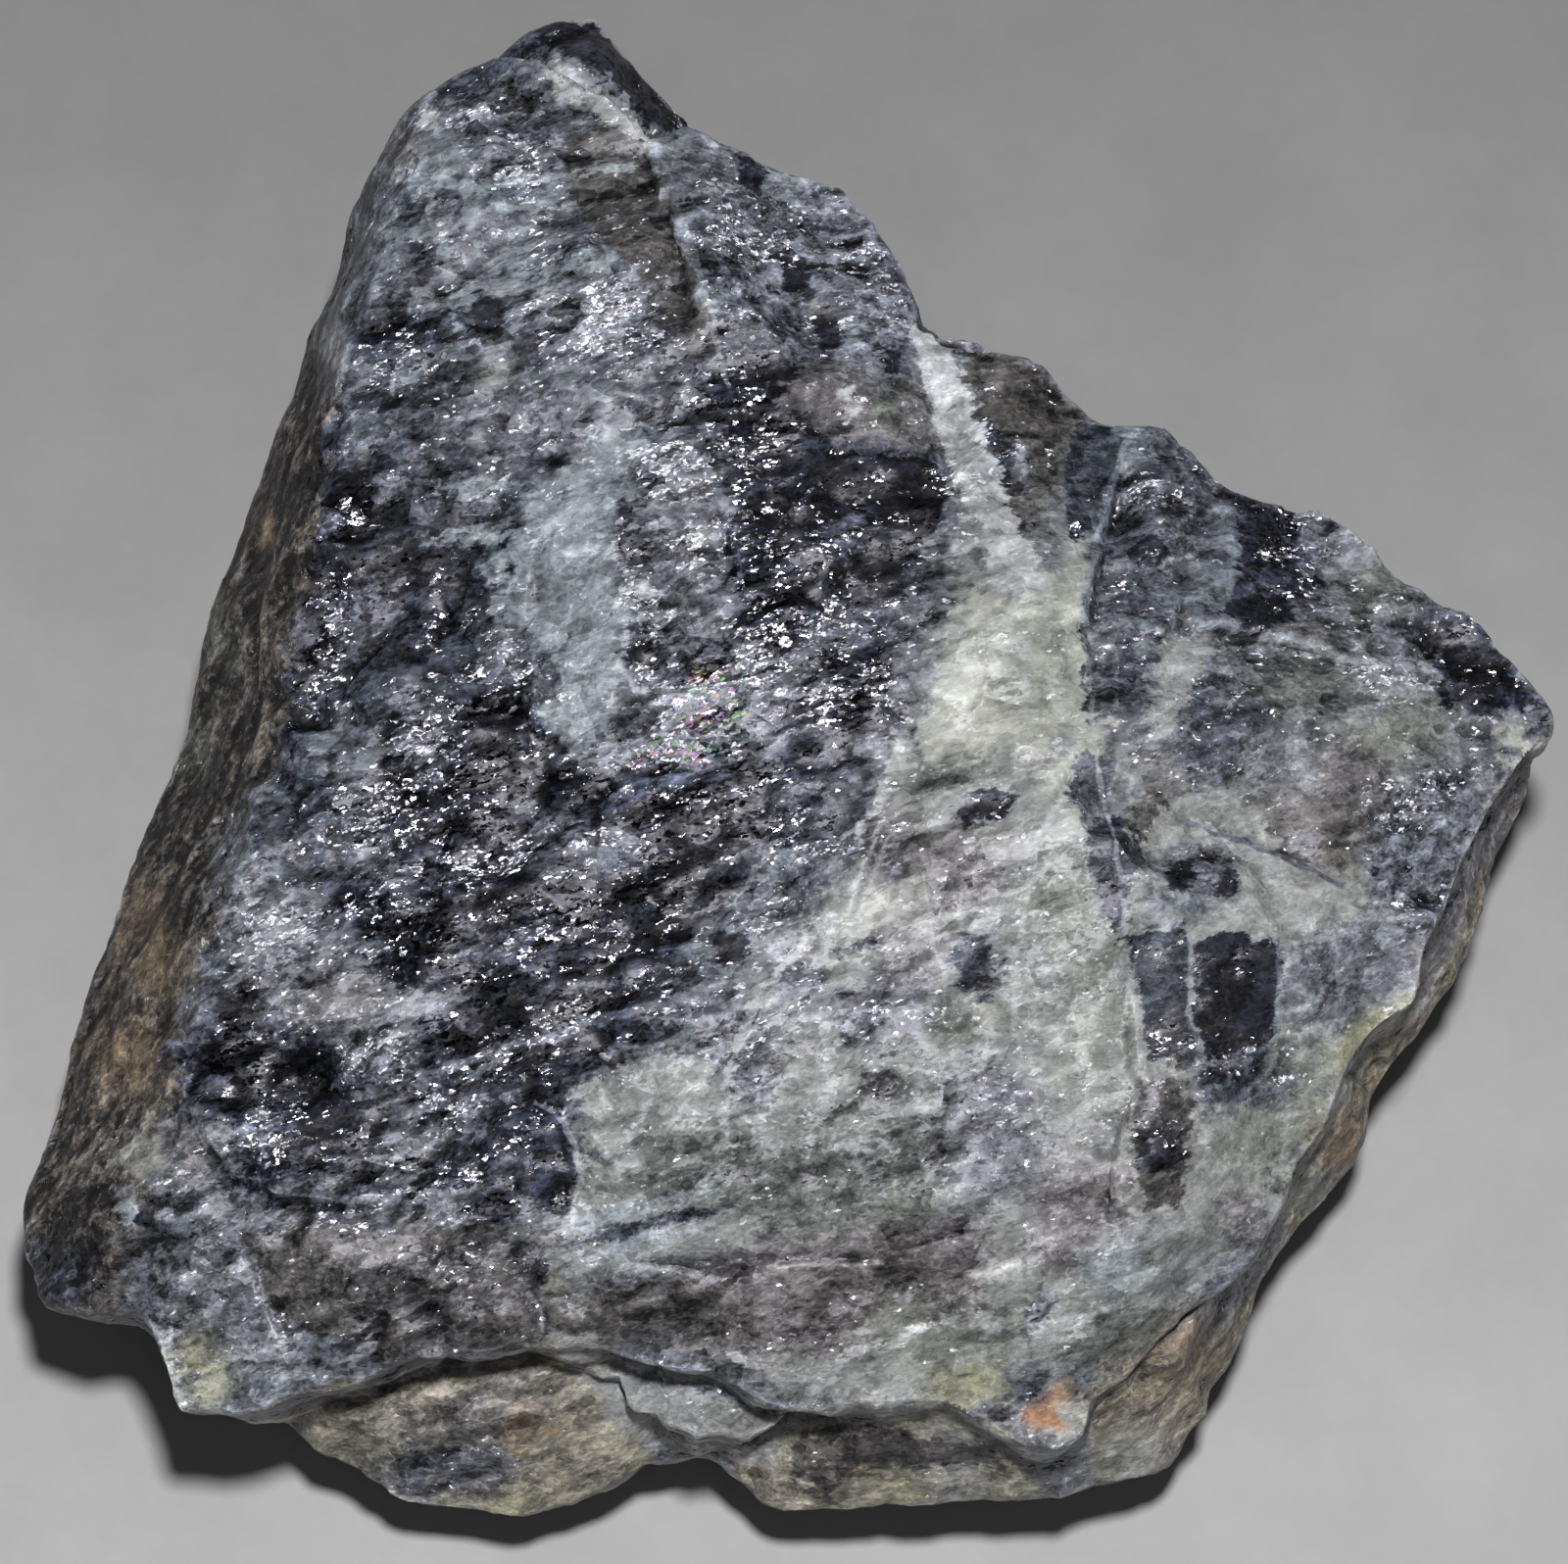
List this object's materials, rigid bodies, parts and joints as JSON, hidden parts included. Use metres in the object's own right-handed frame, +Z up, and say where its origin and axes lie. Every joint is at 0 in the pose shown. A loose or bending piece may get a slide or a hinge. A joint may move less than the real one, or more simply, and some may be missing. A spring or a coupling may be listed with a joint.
{
  "type": "rough labradorite chunk",
  "caption": "Rough broken chunk of labradorite with a broad dark glittering cleavage face, pale patches and a weathered brown side, resting on its flat underside.",
  "frame": {"origin": "centre of the bounding box in plan, at the height of the flat underside", "axes": "+Z up out of the broad cleavage face; +X from the weathered left side to the right corner; +Y from the front ledges to the knob at the back"},
  "size_m": [0.0716, 0.0718, 0.0242],
  "materials": {
    "labradorite": "rough broken feldspar, glassy dark cleavage with sharp glints beside pale grey-green patches, brown weathered side"
  },
  "bodies": {
    "root": {"labradorite_chunk": "labradorite"}
  },
  "joints": []
}
